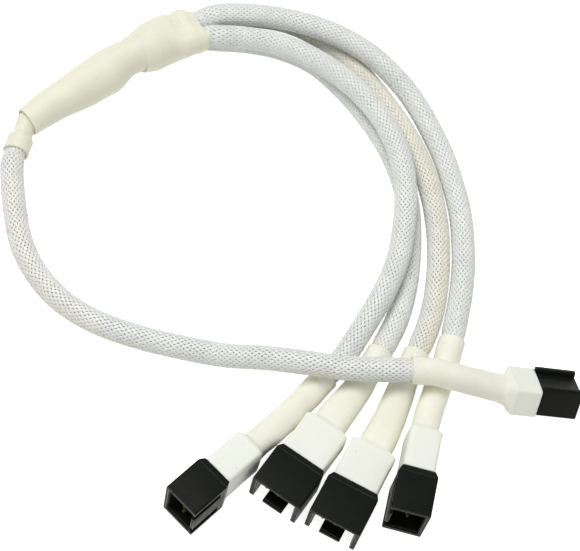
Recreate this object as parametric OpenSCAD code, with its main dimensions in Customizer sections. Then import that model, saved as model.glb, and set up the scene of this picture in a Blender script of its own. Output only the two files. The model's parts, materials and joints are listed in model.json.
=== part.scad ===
// Splitter lead that feeds four fans from one three-way fan outlet.
// It lies on z = 0 as it was put down. The four output sockets face -Y and the input plug faces +X.
// Every connector has its own axes: x along it towards its mouth, y across it, z through its thickness.

/* [Leads] */
// Diameter over the braided sleeve of each lead
sleeve_d = 4.8; // [4.4:0.1:5.2]
// How much thinner the sleeve is where heat-shrink grips it
grip_squeeze = 0.4; // [0.2:0.1:0.6]
// Diameter of each insulated wire in a sleeve
wire_d = 1.2; // [1:0.05:1.3]
// How far a sleeve runs into a boot
sleeve_in = 6; // [4:0.5:7]
// How far each output's sleeve runs into the junction
junction_in = 4.5; // [3:0.5:4.5]

/* [Heat-shrink] */
// Wall of the heat-shrink once it has shrunk
shrink_wall = 0.4; // [0.3:0.05:0.5]
// Space left between the heat-shrink and what it grips
grip_gap = 0.05; // [0.03:0.01:0.1]
// Length of the boxed collar over the rear of an output housing
collar_l = 9.2; // [8:0.1:11]
// Length of the boxed collar over the rear of the input plug
plug_collar_l = 6; // [5:0.1:7]
// Diameter of a boot's neck, over the wires alone
neck_d = 5.3; // [4.8:0.1:5.6]

/* [Contacts] */
// Distance between neighbouring contacts
pitch = 2.54; // [2.5:0.01:2.6]
// Side of a square pin
pin_w = 0.64; // [0.5:0.01:0.7]
// How far a pin's tip lies behind the mouth of its shroud
pin_recess = 1.2; // [0.8:0.1:2]
// Side of the channel that holds a crimped contact
channel_w = 2.1; // [1.9:0.05:2.2]
// Clearance round a contact in its channel
contact_gap = 0.05; // [0.03:0.01:0.1]
// Thickness of the sheet that the contacts are stamped from
contact_t = 0.2; // [0.15:0.05:0.25]

/* [Input plug] */
// Width of the plug's body
plug_w = 7.7; // [7.6:0.1:8.2]
// Thickness of the plug's body without its ribs
plug_t = 5.4; // [5:0.1:6]
// Length of the plug's body
plug_l = 12.8; // [12.5:0.1:15]
// Width of each polarising rib
rib_w = 1.2; // [0.8:0.1:1.5]
// Height of each polarising rib
rib_h = 1; // [0.6:0.1:1.2]
// Thickness of the wall that the pins enter through
plug_front = 1.2; // [0.8:0.1:1.6]

/* [Output housing] */
// Space between a fan's plug and the shroud round it
mate_gap = 0.15; // [0.1:0.05:0.25]
// Wall at each end of the shroud's width
side_wall = 1.1; // [0.9:0.1:1.3]
// Wall above and below the shroud's cavity
broad_wall = 0.85; // [0.7:0.05:1.1]
// Length of the shroud ahead of its rear rim
shroud_l = 7.8; // [7.4:0.1:9]
// Depth of the cavity that a fan's plug enters
cavity_l = 7.2; // [6.8:0.1:7.4]
// Thickness of the floor that the pins stand in
floor_t = 1.2; // [0.8:0.1:1.4]
// Length of the slope round the shroud's rear
rim_run = 1.3; // [1:0.1:1.5]
// Depth of the slope round the shroud's rear
rim_drop = 0.6; // [0.5:0.05:0.7]
// Width of each slot that a fan plug's rib slides into
slot_w = 2; // [1.6:0.1:2.2]
// Radius of the long edges of the mouldings
edge_r = 0.35; // [0.2:0.05:0.5]

/* [Hidden] */

// Facets of a swept lead, of a wire and of each rounded corner of a heat-shrink tube
lead_sides = 10;
wire_sides = 8;
corner_steps = 5;
round_fn = 32;
// A cut runs this far past the face that it opens
cut = 0.5;
UP = [0, 0, 1];

sleeve_r = sleeve_d / 2;
grip_r = sleeve_r - grip_squeeze / 2;
// Outside radius of heat-shrink over a gripped sleeve
boot_r = grip_r + grip_gap + shrink_wall;
neck_r = neck_d / 2;
skin = shrink_wall + grip_gap;
// Corner radius of a boxed collar
collar_r = edge_r + skin;

cavity_w = plug_w + 2 * mate_gap;
cavity_t = plug_t + 2 * mate_gap;
housing_w = cavity_w + 2 * side_wall;
housing_t = cavity_t + 2 * broad_wall;
// The block behind the shroud lies under the collar, which ends flush with the slope
block_w = housing_w - 2 * rim_drop - 2 * skin;
block_t = housing_t - 2 * rim_drop - 2 * skin;
// Room behind a housing for the wires to spread into its channels
wire_room = 1.3;
collar_x = shroud_l + rim_run;
block_rear = collar_x + collar_l - wire_room;
plug_collar_x = plug_l + wire_room - plug_collar_l;
// The floor between cavity and channels
floor_x = cavity_l + floor_t;
// The rib's flank keeps the same space in its slot as the plug has in the shroud
tongue_w = cavity_w - 2 * slot_w + 0.2;
channel_room = channel_w - 2 * contact_gap;
insulation_crimp_d = wire_d + 2 * contact_gap + 2 * contact_t;
// How far a crimped contact reaches back from its shoulder, and a socket's box forward of it
crimp_l = 4.2;
strip_l = 1.6;
box_l = 6;

// How the four sleeves are packed in the junction: two below, two above and nearer the front
bundle_pitch = grip_r * 2 + grip_gap;
bundle_rise = bundle_pitch * sqrt(3) / 2;
bundle_lean = bundle_pitch / 2 / bundle_rise;
bundle_low = grip_r + skin;

// Junction: hand-chosen places along its middle, each [x, y]
wide_xy = [[-31.4, 51.6], [-34.9, 48.4], [-36.9, 46.6], [-39.1, 44.6], [-41.7, 42.2]];
// Share of the way from the packed bundle's outline to the round front, at each place
wide_share = [0, 0, 0.55, 0.9, 1];
wide_front_r = 5.2;
tapered_xy = [[-39.1, 44.6], [-41.7, 42.2], [-44.7, 38.5], [-47.9, 33.8], [-51.1, 29.1],
    [-54.1, 25.2], [-56.5, 22.2], [-58.5, 19.5]];
tapered_r = [4.4, 4.6, 4.6, 4.55, 4.3, 3.85, 3.4, 3.1];
// How far each place is held off the ground by the tube round it
tapered_lift = [0.7, 0.6, 0.1, 0, 0, 0, 0, 0];
cuff_xy = [[-56.6, 22.1], [-58.3, 19.7], [-58.6, 18.2], [-58.6, 16.7], [-58.6, 15.1], [-58.6, 11.9]];
cuff_r = [2.4, 2.4, 2.2, 2.1, boot_r, boot_r];
cuff_lift = [1, 0.6, 0.5, 0.4, 0, 0];

// Splices: the middle one's rear face, and the way they point
splice_xy = [-44.9, 37.9];
splice_heading = -124;
splice_l = 9;
splice_d = 3.4;
splice_spread = 2.05;
splice_z = 4.6;
splice_turns = [210, -30, 90];
// Halfway from the sleeves to the splices the wires pass over and under each other: for each output,
// how far across and how high its power, ground and signal wires lie there
crossing_xy = [-40.1, 43.5];
crossings = [
    [[0.4, 6.5], [-2.6, 5.3], [-1.7, 7.3]], [[0.5, 3.7], [-1.9, 2.8]],
    [[2.1, 3.1], [-0.3, 2]], [[2.4, 5.2], [-0.3, 4.9]]
];

// Outputs, each [mouth x, mouth y, heading, roll, contacts]
outputs = [
    [-7.3, -54, -122, 90, [0, 1, 2]],
    [8.8, -46.8, -111, 0, [0, 1]],
    [20.3, -49.5, -104, 0, [0, 1]],
    [33.1, -44.9, -90, -90, [0, 1]]
];
// Routes, each a list of [x, y, height of the lead's underside], from the junction to the boot's mouth
route_1 = [[-25.9, 50.1, 4.9], [-20.5, 51.5, 4.9], [-13.5, 52, 4.9], [-6, 50.8, 4.9], [1.5, 47.7, 4.9],
    [8.5, 42.9, 4.9], [14.1, 36.6, 4.9], [17.7, 29.9, 4.9], [19.8, 22.8, 4.8], [20.8, 15.4, 4.5],
    [21, 7.9, 4.2], [19.7, -0.1, 3.5], [17.5, -7.6, 2.2], [15.1, -14.4, 0.6], [12.7, -19.3, 0.3]];
route_2 = [[-26.6, 52.7, 0.1], [-20.7, 54.2, 0], [-13.4, 54.8, 0], [-5.6, 53.3, 0], [1.9, 48.8, 0],
    [8.7, 43, 0], [14.3, 36.7, 0], [18.2, 30.5, 0], [21, 24, 0], [22.7, 17, 0],
    [23.7, 10.4, 0], [24.1, 4.4, 0], [23.8, -2.6, 0], [22.7, -8.1, 0], [22, -10.9, 0]];
route_3 = [[-29.3, 57.7, 0.2], [-22, 61, 0], [-14.5, 62.3, 0], [-7.5, 61.2, 0], [-1, 58, 0],
    [5, 53.5, 0], [10.9, 48.2, 0], [16.6, 42.1, 0], [21.8, 34.9, 0], [25.5, 27.4, 0],
    [28, 19.9, 0], [29.6, 11.9, 0], [30.3, 3.9, 0], [30, -3.1, 0], [28.9, -9.1, 0]];
route_4 = [[-28.2, 55.2, 4.9], [-23.5, 57.1, 4.9], [-18, 58.5, 4.9], [-12.6, 59.1, 4.9], [-7.2, 59.1, 4.9],
    [-2.2, 58.4, 4.9], [2.4, 57.1, 4.8], [6.8, 55.5, 4.3], [11, 53.4, 3.4], [15, 50.9, 2.3],
    [18.8, 47.6, 1.2], [22.4, 43.4, 0.4], [25.6, 38.8, 0.1], [28.4, 33.5, 0], [31.4, 26.6, 0],
    [33.2, 20.4, 0], [34.5, 13.9, 0], [35.2, 6.8, 0], [35.3, 1.2, 0], [35.2, -4.3, 0]];
routes = [route_1, route_2, route_3, route_4];
input_route = [[-58.5, 9.6, 0.2], [-56.8, 4.4, 0], [-54.4, -1.4, 0], [-51.1, -7.7, 0], [-46.5, -13.1, 0],
    [-40.3, -17.5, 0], [-33, -20, 0], [-24.5, -20.9, 0], [-15, -20.7, 0], [-7, -20.3, 0.6],
    [1, -20.1, 3.6], [8.5, -20, 5.7], [16, -19.3, 6.4], [22, -18.1, 6.9], [27.9, -16.7, 7.1]];
// Input plug: its mouth's middle, heading, pitch and roll
plug_xy = [60.3, -10.4];
plug_heading = 12;
plug_pitch = -5;
plug_roll = -30;
// The plug's lowest corner at the mouth rests on the ground
plug_z = plug_w / 2 * abs(sin(plug_roll)) + plug_t / 2 * cos(plug_roll);

function unit(v) = v / norm(v);
function lerp(a, b, t) = a * (1 - t) + b * t;
function bezier(p, t) = let (s = 1 - t) p[0] * s * s * s + p[1] * 3 * s * s * t + p[2] * 3 * s * t * t + p[3] * t * t * t;
function bezier_way(p, t) = let (s = 1 - t)
    unit((p[1] - p[0]) * s * s + (p[2] - p[1]) * 2 * s * t + (p[3] - p[2]) * t * t);

// Axes of a connector: along it, across it and through its thickness
function along(heading, pitch) = [cos(heading) * cos(pitch), sin(heading) * cos(pitch), sin(pitch)];
function axes_of(way, roll) = let (left = unit(cross(UP, way)), top = cross(way, left))
    [left * cos(roll) + top * sin(roll), top * cos(roll) - left * sin(roll)];

// The tangent at each place of a path
function way_at(path, i) = unit(path[min(i + 1, len(path) - 1)] - path[max(i - 1, 0)]);

// Outline of half-width a, half-height b and corner radius r, whose top leans to one side
function outline(a, b, r, lean) = let (hx = a - r, hy = b - r, tilt = atan(lean),
    from = [tilt, 90, 180 + tilt, 270], to = [90, 180 + tilt, 270, 360 + tilt],
    sx = [1, -1, -1, 1], sy = [1, 1, -1, -1])
    [for (k = [0:3]) for (j = [0:corner_steps - 1]) let (t = lerp(from[k], to[k], (j + 0.5) / corner_steps))
        [sx[k] * hx - sy[k] * hy * lean + r * cos(t), sy[k] * hy + r * sin(t)]];

// One ring of a tube: a station is [centre, across, up, a, b, r, lean]
function ring(s, inset) = [for (p = outline(s[3] - inset, s[4] - inset, max(s[5] - inset, 0.15), s[6]))
    s[0] + s[1] * p[0] + s[2] * p[1]];

// An open tube of heat-shrink through a list of stations
module shrink_tube(stations) {
    n = 4 * corner_steps;
    m = len(stations);
    outer = [for (s = stations) each ring(s, 0)];
    inner = [for (s = stations) each ring(s, shrink_wall)];
    k = n * m;
    sides = [for (i = [0:m - 2]) for (j = [0:n - 1]) let (q = (j + 1) % n)
        [i * n + j, (i + 1) * n + j, (i + 1) * n + q, i * n + q]];
    bore = [for (f = sides) [k + f[3], k + f[2], k + f[1], k + f[0]]];
    start = [for (j = [0:n - 1]) let (q = (j + 1) % n) [j, q, k + q, k + j]];
    end = [for (j = [0:n - 1]) let (q = (j + 1) % n, e = (m - 1) * n) [e + q, e + j, k + e + j, k + e + q]];
    polyhedron(concat(outer, inner), concat(sides, bore, start, end));
}

// A solid round tube through a list of points, with a radius at each
module swept(path, radii, n) {
    m = len(path);
    points = [for (i = [0:m - 1]) let (a = axes_of(way_at(path, i), 0))
        for (j = [0:n - 1]) path[i] + radii[i] * (a[0] * cos(360 * j / n) + a[1] * sin(360 * j / n))];
    sides = [for (i = [0:m - 2]) for (j = [0:n - 1]) let (q = (j + 1) % n)
        [i * n + j, (i + 1) * n + j, (i + 1) * n + q, i * n + q]];
    polyhedron(points, concat(sides, [[for (j = [0:n - 1]) j]], [[for (j = [n - 1:-1:0]) (m - 1) * n + j]]));
}

module wire(path) {
    swept(path, [for (p = path) wire_d / 2], wire_sides);
}

// Junction

junction_way = unit([wide_xy[0][0] - wide_xy[2][0], wide_xy[0][1] - wide_xy[2][1], 0]);
junction_left = cross(UP, junction_way);
bundle_mid = [wide_xy[0][0], wide_xy[0][1], bundle_low + bundle_rise / 2];
// Where each output's sleeve leaves the junction, across and up from the bundle's middle
bundle_places = [
    [-bundle_pitch * 0.75, bundle_rise / 2], [-bundle_pitch * 0.25, -bundle_rise / 2],
    [bundle_pitch * 0.75, -bundle_rise / 2], [bundle_pitch * 0.25, bundle_rise / 2]
];
function bundle_point(i, back) = bundle_mid + junction_left * bundle_places[i][0] + UP * bundle_places[i][1]
    - junction_way * back;

module wide_tube() {
    packed = [bundle_pitch / 2 + boot_r, bundle_rise / 2 + boot_r, boot_r, -bundle_lean];
    front = [wide_front_r, wide_front_r, wide_front_r, 0];
    sizes = [for (t = wide_share) lerp(packed, front, t)];
    path = resting(wide_xy, [for (s = sizes) s[1]], [for (s = sizes) 0]);
    color("ivory") shrink_tube([for (i = [0:len(path) - 1]) let (a = axes_of(way_at(path, i), 0))
        [path[i], a[0], a[1], each sizes[i]]]);
}

// Places along the middle of a round tube that rests on the ground where nothing lifts it
function resting(xy, radii, lift) = [for (i = [0:len(xy) - 1]) [xy[i][0], xy[i][1], radii[i] + lift[i]]];
tapered_path = resting(tapered_xy, tapered_r, tapered_lift);
cuff_path = resting(cuff_xy, cuff_r, cuff_lift);

module round_shrink(path, radii) {
    color("ivory") shrink_tube([for (i = [0:len(path) - 1]) let (a = axes_of(way_at(path, i), 0))
        [path[i], a[0], a[1], radii[i], radii[i], radii[i], 0]]);
}

module tapered_tube() {
    round_shrink(tapered_path, tapered_r);
}

module input_cuff() {
    round_shrink(cuff_path, cuff_r);
}

// Leads

function full_route(route) = [for (p = route) [p[0], p[1], p[2] + sleeve_r]];

// Start of an output lead: its end in the junction, the junction's rear edge and a little beyond
function lead_start(i) = [bundle_point(i, junction_in), bundle_point(i, 0), bundle_point(i, -1.5)];

// A boot runs on a curve from its mouth to the rear of its collar, and keeps its height at first
function boot_curve(route, rear, way) = let (p = full_route(route), n = len(p), start = p[n - 1],
    start_way = unit(start - p[n - 2]), reach = norm(rear - start) / 3,
    low = [start[0], start[1], start[2] - sleeve_r + boot_r])
    [low, low + start_way * reach, rear - way * reach - UP * (rear[2] - low[2]) * 0.35, rear];
function sleeve_share(curve) = sleeve_in / norm(curve[3] - curve[0]);

function output_way(o) = along(o[2], 0);
function output_mouth(o) = [o[0], o[1], (abs(o[3]) == 90 ? housing_w : housing_t) / 2];
function output_curve(i) = boot_curve(routes[i], output_mouth(outputs[i])
    - output_way(outputs[i]) * (collar_x + collar_l), output_way(outputs[i]));
plug_mouth = [plug_xy[0], plug_xy[1], plug_z];
plug_way = along(plug_heading, plug_pitch);
plug_axes = axes_of(plug_way, plug_roll);
input_curve = boot_curve(input_route, plug_mouth - plug_way * (plug_collar_x + plug_collar_l), plug_way);

// Heat-shrink squeezes the first few points of a lead and its last three
module lead(path, gripped) {
    n = len(path);
    swept(path, [for (i = [0:n - 1]) i < gripped || i > n - 4 ? grip_r : sleeve_r], lead_sides);
}

// The last point of a route is where the boot grips it, and the sleeve ends inside the boot
function lead_path(start, route, curve) = let (p = full_route(route), n = len(p), t = sleeve_share(curve))
    concat(start, [for (i = [0:n - 2]) p[i]], [curve[0], bezier(curve, t / 2), bezier(curve, t)]);

module output_lead(i) {
    color("whitesmoke") lead(lead_path(lead_start(i), routes[i], output_curve(i)), 3);
}

module input_lead() {
    color("whitesmoke") lead(lead_path([cuff_path[4], cuff_path[5]], input_route, input_curve), 2);
}

// Boots: a station on the curve, then the boxed collar over the housing
function boot_shares(t) = [0, t / 2, t, lerp(t, 1, 0.25), lerp(t, 1, 0.5), lerp(t, 1, 0.7), lerp(t, 1, 0.88)];

module boot(curve, way, roll, half_w, half_t, flare, collar) {
    end = sleeve_share(curve);
    round_part = [for (t = boot_shares(end)) let (a = axes_of(bezier_way(curve, t), roll),
        r = t > end ? neck_r : boot_r, wide = r + flare * max(0, t - end) / (1 - end))
        [bezier(curve, t), a[0], a[1], wide, r, r, 0]];
    a = axes_of(way, roll);
    step = [[0, 0.78, 0.86, 2], [0.5, 0.93, 0.95, 1.5], [1.2, 1, 1, collar_r], [collar, 1, 1, collar_r]];
    boxed = [for (s = step) [curve[3] + way * s[0], a[0], a[1], half_w * s[1], half_t * s[2], s[3], 0]];
    color("ivory") shrink_tube(concat(round_part, boxed));
}

module output_boot(i) {
    o = outputs[i];
    flat = o[3] == 0;
    boot(output_curve(i), output_way(o), o[3], block_w / 2 + skin, block_t / 2 + skin, flat ? 0.8 : 0.4,
        collar_l - grip_gap);
}

module input_boot() {
    boot(input_curve, plug_way, plug_roll, plug_w / 2 + skin, plug_t / 2 + skin, 0.3, plug_collar_l);
}

// Mouldings

module place(mouth, heading, pitch, roll) {
    translate(mouth) rotate([0, 0, heading]) rotate([0, -pitch, 0]) rotate([roll, 0, 0]) children();
}

module at_output(i) {
    o = outputs[i];
    place(output_mouth(o), o[2], 0, o[3]) children();
}

module at_plug() {
    place(plug_mouth, plug_heading, plug_pitch, plug_roll) children();
}

module rounded(w, t, r) {
    square([w - 2 * r, t], center = true);
    square([w, t - 2 * r], center = true);
    for (x = [-1, 1], y = [-1, 1]) translate([x * (w / 2 - r), y * (t / 2 - r)]) circle(r, $fn = round_fn);
}

// A bar along x from x1 to x2 with rounded long edges
module bar(x1, x2, w, t, r) {
    translate([x1, 0, 0]) rotate([90, 0, 90]) linear_extrude(x2 - x1) rounded(w, t, r);
}

module box(x1, x2, y, z, w, t) {
    translate([x1, y - w / 2, z - t / 2]) cube([x2 - x1, w, t]);
}

// A solid whose half-width and half-thickness change along x, from a list of [x, half-width, half-thickness]
module profiled(list) {
    n = len(list);
    w = max([for (p = list) p[1]]) * 2 + 1;
    t = max([for (p = list) p[2]]) * 2 + 1;
    intersection() {
        translate([0, 0, -t / 2]) linear_extrude(t)
            polygon([for (p = list) [p[0], p[1]], for (i = [n - 1:-1:0]) [list[i][0], -list[i][1]]]);
        rotate([90, 0, 0]) translate([0, 0, -w / 2]) linear_extrude(w)
            polygon([for (p = list) [p[0], p[2]], for (i = [n - 1:-1:0]) [list[i][0], -list[i][2]]]);
    }
}

module output_housing(i) {
    slot_y = (tongue_w + slot_w) / 2;
    color("#1e211c") at_output(i) difference() {
        union() {
            intersection() {
                bar(-collar_x, 0, housing_w, housing_t, edge_r);
                profiled([
                    [-collar_x, housing_w / 2 - rim_drop, housing_t / 2 - rim_drop],
                    [-shroud_l, housing_w / 2, housing_t / 2], [0, housing_w / 2, housing_t / 2]
                ]);
            }
            bar(-block_rear, -collar_x + cut, block_w, block_t, edge_r);
        }
        // Cavity for a fan's plug, with a lead-in round its mouth
        profiled([
            [-cavity_l, cavity_w / 2, cavity_t / 2], [-0.4, cavity_w / 2, cavity_t / 2],
            [0, cavity_w / 2 + 0.25, cavity_t / 2 + 0.25], [cut, cavity_w / 2 + 0.25, cavity_t / 2 + 0.25]
        ]);
        // Slots for the ribs of a fan's plug, with the tongue between them
        for (s = [-1, 1])
            box(-cavity_l + 0.6, cut, s * slot_y, -housing_t / 2, slot_w, 2 * broad_wall + cut);
        for (c = [-1:1]) {
            box(-block_rear - cut, -floor_x, c * pitch, 0, channel_w, channel_w);
            box(-floor_x - cut, -cavity_l + cut, c * pitch, 0, pin_w + 2 * contact_gap, pin_w + 2 * contact_gap);
            // Window that a contact's lance springs into
            box(-floor_x - 4.1, -floor_x - 2.3, c * pitch, block_t / 2, 1, block_t - channel_w);
        }
    }
}

module input_plug() {
    color("#1e211c") at_plug() difference() {
        union() {
            bar(-plug_l, 0, plug_w, plug_t, edge_r);
            // The ribs end at the collar
            for (s = [-1, 1])
                translate([0, s * (plug_w - rib_w) / 2, (plug_t + rib_h) / 2 - 0.5])
                    bar(mate_gap - plug_collar_x, 0, rib_w, rib_h + 1, edge_r);
        }
        for (c = [-1:1]) {
            box(-plug_l - cut, -plug_front, c * pitch, 0, channel_w, channel_w);
            // Square hole for a pin, with a lead-in
            translate([0, c * pitch, 0]) profiled([
                [-plug_front - cut, 0.5, 0.5], [-0.5, 0.5, 0.5], [0, 0.85, 0.85], [cut, 0.85, 0.85]
            ]);
            box(-plug_front - 5.4, -plug_front - 3.6, c * pitch, -plug_t / 2, 1, plug_t - channel_w);
        }
    }
}

// Contacts

// The crimped half that both kinds of contact have, running back from x = 0
module crimp() {
    low = -channel_room / 2;
    wire_low = -insulation_crimp_d / 2;
    // Stem of folded sheet
    box(-crimp_l, 0, 0, low + contact_t / 2, 0.9, contact_t);
    box(-0.9, 0, 0, 0, channel_room - 0.4, channel_room);
    // Open barrel round the stripped strands, and the one round the insulation
    difference() {
        box(-crimp_l + 2 * strip_l - 0.6, -1.2, 0, 0, insulation_crimp_d, channel_room);
        box(-crimp_l, -0.8, 0, contact_t, insulation_crimp_d - 2 * contact_t, channel_room);
    }
    difference() {
        translate([-crimp_l, 0, 0]) rotate([0, 90, 0]) cylinder(d = channel_room, h = strip_l, $fn = round_fn);
        translate([-crimp_l - cut, 0, 0]) rotate([0, 90, 0])
            cylinder(d = wire_d + 2 * contact_gap, h = strip_l + 2 * cut, $fn = round_fn);
    }
}

module pin_contact() {
    tip = floor_x + contact_gap - pin_recess;
    crimp();
    profiled([[-0.5, pin_w / 2, pin_w / 2], [tip - 0.5, pin_w / 2, pin_w / 2], [tip, pin_w / 4, pin_w / 4]]);
}

module output_pins(i) {
    color("gold") at_output(i) for (c = outputs[i][4])
        translate([-floor_x - contact_gap, (c - 1) * pitch, 0]) pin_contact();
}

// Folded box with two springs that close on a pin
module socket_contact() {
    crimp();
    difference() {
        box(-cut, box_l, 0, 0, channel_room, channel_room);
        box(-cut * 0.5, box_l + cut, 0, 0, channel_room - 2 * contact_t, channel_room - 2 * contact_t);
    }
    for (s = [-1, 1]) rotate([90, 0, 0]) translate([0, 0, -0.5]) linear_extrude(1) polygon([
        [0.3, s * (channel_room / 2 - contact_t / 2)], [box_l / 2, s * 0.3], [box_l - 0.3, s * 0.62],
        [box_l - 0.3, s * 0.82], [box_l / 2, s * 0.5], [0.6, s * channel_room / 2]
    ]);
}

module input_contacts() {
    color("silver") at_plug() for (c = [-1:1])
        translate([-plug_front - contact_gap - box_l, c * pitch, 0]) socket_contact();
}

// Wires

// Three wires lie in a triangle in a sleeve: across and up from its middle
wire_ring = wire_d / sqrt(3) + 0.08;
// Space between a sleeve's end and the tails of its wires
tail_gap = 0.2;
function wire_place(turn) = wire_ring * [cos(turn), sin(turn)];

// From the sleeve's end to the channels: spread a little at a time and then into the housing
module fan_out(curve, way, roll, contacts, rear) {
    a = axes_of(way, roll);
    t0 = sleeve_share(curve) * (1 + tail_gap / sleeve_in);
    for (c = contacts) let (w = wire_place(210 - 120 * c), s = c - 1) wire([
        for (t = [t0, lerp(t0, 1, 0.3), lerp(t0, 1, 0.6), lerp(t0, 1, 0.85)])
            let (b = axes_of(bezier_way(curve, t), roll), k = max(0, t - t0))
            bezier(curve, t) + b[0] * lerp(w[0], s * 1.45, k / (1 - t0)) + b[1] * w[1] * (1 - k / (1 - t0)),
        curve[3] + way * (wire_room + 1) + a[0] * s * pitch,
        curve[3] + way * (wire_room + rear) + a[0] * s * pitch
    ]);
}

module output_pin_wires(i) {
    o = outputs[i];
    color("dimgray") fan_out(output_curve(i), output_way(o), o[3], o[4],
        block_rear - floor_x - contact_gap - crimp_l + strip_l - 0.2);
}

module input_plug_wires() {
    color("dimgray") fan_out(input_curve, plug_way, plug_roll, [0, 1, 2],
        plug_l - plug_front - contact_gap - box_l - crimp_l + strip_l - 0.2);
}

// Splices

splice_way = along(splice_heading, 0);
splice_left = cross(UP, splice_way);
// The middle of a splice's rear face: 0 power, 1 ground, 2 signal
function splice_rear(k) = [splice_xy[0], splice_xy[1], splice_z]
    + splice_spread * (splice_left * cos(splice_turns[k]) + UP * sin(splice_turns[k]));

module splice(k) {
    color("ivory") translate(splice_rear(k)) rotate([0, 0, splice_heading]) rotate([0, 90, 0])
        rotate_extrude($fn = round_fn) polygon([
            [0, 0], [splice_d / 2 - 0.2, 0], [splice_d / 2, 0.2], [splice_d / 2, splice_l - 0.8],
            [splice_d / 2 - 0.7, splice_l], [0, splice_l]
        ]);
}

module power_splice() {
    splice(0);
}

module ground_splice() {
    splice(1);
}

module signal_splice() {
    splice(2);
}

// Where each output's wire meets its splice, across and up from the splice's middle
splice_seats = [[-0.63, 0.63], [-0.63, -0.63], [0.63, -0.63], [0.63, 0.63]];

module output_splice_wires(i) {
    color("dimgray") for (k = outputs[i][4]) let (w = wire_place(splice_turns[k]), mid = crossings[i][k],
        from = bundle_point(i, junction_in + tail_gap) - junction_left * w[0] + UP * w[1],
        seat = k == 2 ? [0, 0] : splice_seats[i],
        to = splice_rear(k) - splice_left * seat[0] + UP * seat[1] - splice_way * grip_gap)
        wire([
            from, from - junction_way,
            [crossing_xy[0], crossing_xy[1], mid[1]] + junction_left * mid[0],
            to - splice_way * 1.5, to
        ]);
}

// From the sleeve's end through the cuff to the front of each splice
module input_splice_wires() {
    color("dimgray") for (k = [0:2]) let (w = wire_place(splice_turns[k]),
        to = splice_rear(k) + splice_way * (splice_l + grip_gap))
        wire(concat(
            [for (i = [4:-1:0]) let (a = axes_of(way_at(cuff_path, i), 0))
                cuff_path[i] + a[0] * w[0] + a[1] * w[1] + [0, i == 4 ? tail_gap : 0, 0]],
            [to + splice_way * 2, to]
        ));
}

wide_tube();
tapered_tube();
input_cuff();
input_lead();
output_lead(0);  // output_lead_1
output_lead(1);  // output_lead_2
output_lead(2);  // output_lead_3
output_lead(3);  // output_lead_4
input_boot();
output_boot(0);  // output_boot_1
output_boot(1);  // output_boot_2
output_boot(2);  // output_boot_3
output_boot(3);  // output_boot_4
input_plug();
output_housing(0);  // output_housing_1
output_housing(1);  // output_housing_2
output_housing(2);  // output_housing_3
output_housing(3);  // output_housing_4
input_contacts();
output_pins(0);  // output_pins_1
output_pins(1);  // output_pins_2
output_pins(2);  // output_pins_3
output_pins(3);  // output_pins_4
power_splice();
ground_splice();
signal_splice();
input_splice_wires();
output_splice_wires(0);  // output_splice_wires_1
output_splice_wires(1);  // output_splice_wires_2
output_splice_wires(2);  // output_splice_wires_3
output_splice_wires(3);  // output_splice_wires_4
input_plug_wires();
output_pin_wires(0);  // output_pin_wires_1
output_pin_wires(1);  // output_pin_wires_2
output_pin_wires(2);  // output_pin_wires_3
output_pin_wires(3);  // output_pin_wires_4
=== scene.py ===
import json
import math

import bmesh
import bpy
import numpy as np
from bpy.props import FloatProperty, FloatVectorProperty, IntProperty, PointerProperty
from mathutils import Matrix

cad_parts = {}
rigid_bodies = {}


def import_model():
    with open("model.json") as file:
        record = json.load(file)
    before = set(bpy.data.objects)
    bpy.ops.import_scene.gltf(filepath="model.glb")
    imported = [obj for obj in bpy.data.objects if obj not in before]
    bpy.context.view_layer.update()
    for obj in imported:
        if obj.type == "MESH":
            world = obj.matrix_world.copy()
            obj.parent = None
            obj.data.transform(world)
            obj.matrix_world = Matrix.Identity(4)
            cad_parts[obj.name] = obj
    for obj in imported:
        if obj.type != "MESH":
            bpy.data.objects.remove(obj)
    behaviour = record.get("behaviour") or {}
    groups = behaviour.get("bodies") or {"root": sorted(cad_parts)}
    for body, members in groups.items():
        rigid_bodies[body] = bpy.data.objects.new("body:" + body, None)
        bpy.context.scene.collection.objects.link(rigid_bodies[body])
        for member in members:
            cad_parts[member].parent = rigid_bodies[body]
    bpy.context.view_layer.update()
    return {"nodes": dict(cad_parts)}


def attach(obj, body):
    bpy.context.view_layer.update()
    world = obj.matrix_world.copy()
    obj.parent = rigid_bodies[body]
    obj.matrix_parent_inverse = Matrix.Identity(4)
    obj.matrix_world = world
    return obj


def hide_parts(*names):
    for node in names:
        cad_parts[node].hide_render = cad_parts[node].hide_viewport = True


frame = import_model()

bl_info = {
    "name": "Fan splitter",
    "version": (1, 0, 0),
    "blender": (4, 5, 0),
    "location": "3D View > Sidebar > Fan splitter",
    "description": "Dresses the solids of a fan splitter: braided leads, heat-shrink and moulded connectors",
    "category": "Object",
}

# Places and sizes are in millimetres until a mesh is made
MM = 0.001
UP = np.array([0.0, 0.0, 1.0])

# Sizes shared with the solids
SHRINK_WALL = 0.4
GRIP_GAP = 0.05
SKIN = SHRINK_WALL + GRIP_GAP
SLEEVE_R = 2.4
GRIP_R = 2.2
BOOT_R = GRIP_R + SKIN
NECK_R = 2.65
SLEEVE_IN = 6.0
JUNCTION_IN = 4.5
WIRE_R = 0.6
PLUG_W, PLUG_T, PLUG_L = 7.7, 5.4, 12.8
HOUSING_W, HOUSING_T = 10.2, 7.4
RIM_DROP = 0.6
COLLAR_R = 0.35 + SKIN
COLLAR_X, COLLAR_L = 9.1, 9.2
PLUG_COLLAR_L, WIRE_ROOM = 6.0, 1.3

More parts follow.
